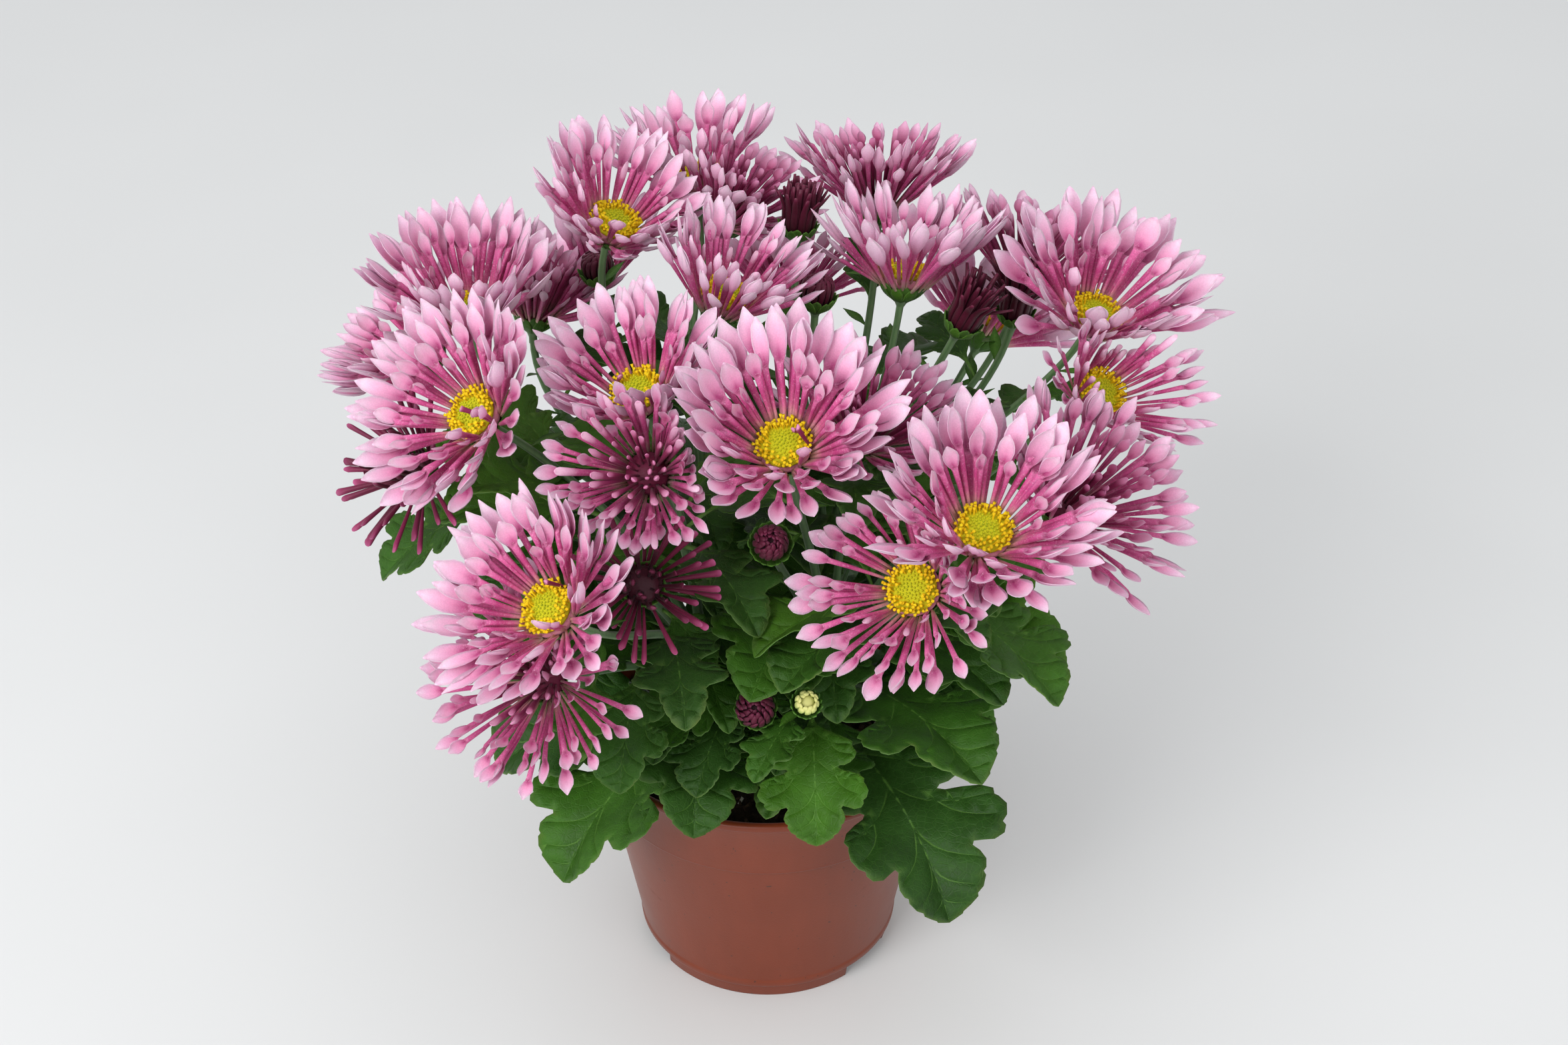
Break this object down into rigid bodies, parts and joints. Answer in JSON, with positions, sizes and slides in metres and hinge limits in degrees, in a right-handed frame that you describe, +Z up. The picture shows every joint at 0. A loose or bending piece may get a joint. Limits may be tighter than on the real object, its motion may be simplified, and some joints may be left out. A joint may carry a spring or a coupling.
{
  "type": "pot chrysanthemum",
  "caption": "Flowering chrysanthemum in a plastic nursery pot: pink spoon-tipped blooms with yellow discs, dark buds and lobed leaves.",
  "frame": {"origin": "middle of the pot's foot, on the surface that the pot stands on", "axes": "+Z up the plant, -Y towards the side that the picture shows as the front, +X to the right seen from there"},
  "size_m": [0.2951, 0.2813, 0.2977],
  "materials": {
    "pot_plastic": "satin",
    "peat": "matte",
    "petal": "satin",
    "young_petal": "satin",
    "disc_floret": "matte",
    "green_bud": "matte",
    "leaf_and_stem": "satin"
  },
  "bodies": {
    "root": {"pot": "pot_plastic", "soil": "peat", "bloom_01": "petal", "disc_01": "disc_floret", "bloom_02": "petal", "disc_02": "disc_floret", "bloom_03": "petal", "bloom_04": "petal", "bloom_05": "petal", "disc_05": "disc_floret", "bloom_06": "petal", "disc_06": "disc_floret", "bloom_07": "petal", "bloom_08": "petal", "disc_08": "disc_floret", "bloom_09": "petal", "disc_09": "disc_floret", "bloom_10": "petal", "disc_10": "disc_floret", "bloom_11": "petal", "disc_11": "disc_floret", "bloom_12": "petal", "disc_12": "disc_floret", "bloom_13": "petal", "bloom_14": "petal", "disc_14": "disc_floret", "bloom_15": "petal", "disc_15": "disc_floret", "bloom_16": "petal", "bloom_17": "petal", "bloom_18": "petal", "disc_18": "disc_floret", "bloom_19": "petal", "bloom_20": "petal", "disc_20": "disc_floret", "bloom_21": "petal", "disc_21": "disc_floret", "bloom_22": "petal", "bloom_23": "young_petal", "bloom_24": "young_petal", "bloom_25": "petal", "disc_25": "disc_floret", "bloom_26": "petal", "bloom_27": "petal", "disc_27": "disc_floret", "bud_1": "young_petal", "bud_2": "young_petal", "bud_3": "young_petal", "bud_4": "young_petal", "bud_5": "young_petal", "bud_6": "young_petal", "bud_7": "green_bud", "bud_8": "young_petal", "plant_1": "leaf_and_stem", "plant_2": "leaf_and_stem", "plant_3": "leaf_and_stem", "plant_4": "leaf_and_stem"}
  },
  "joints": []
}
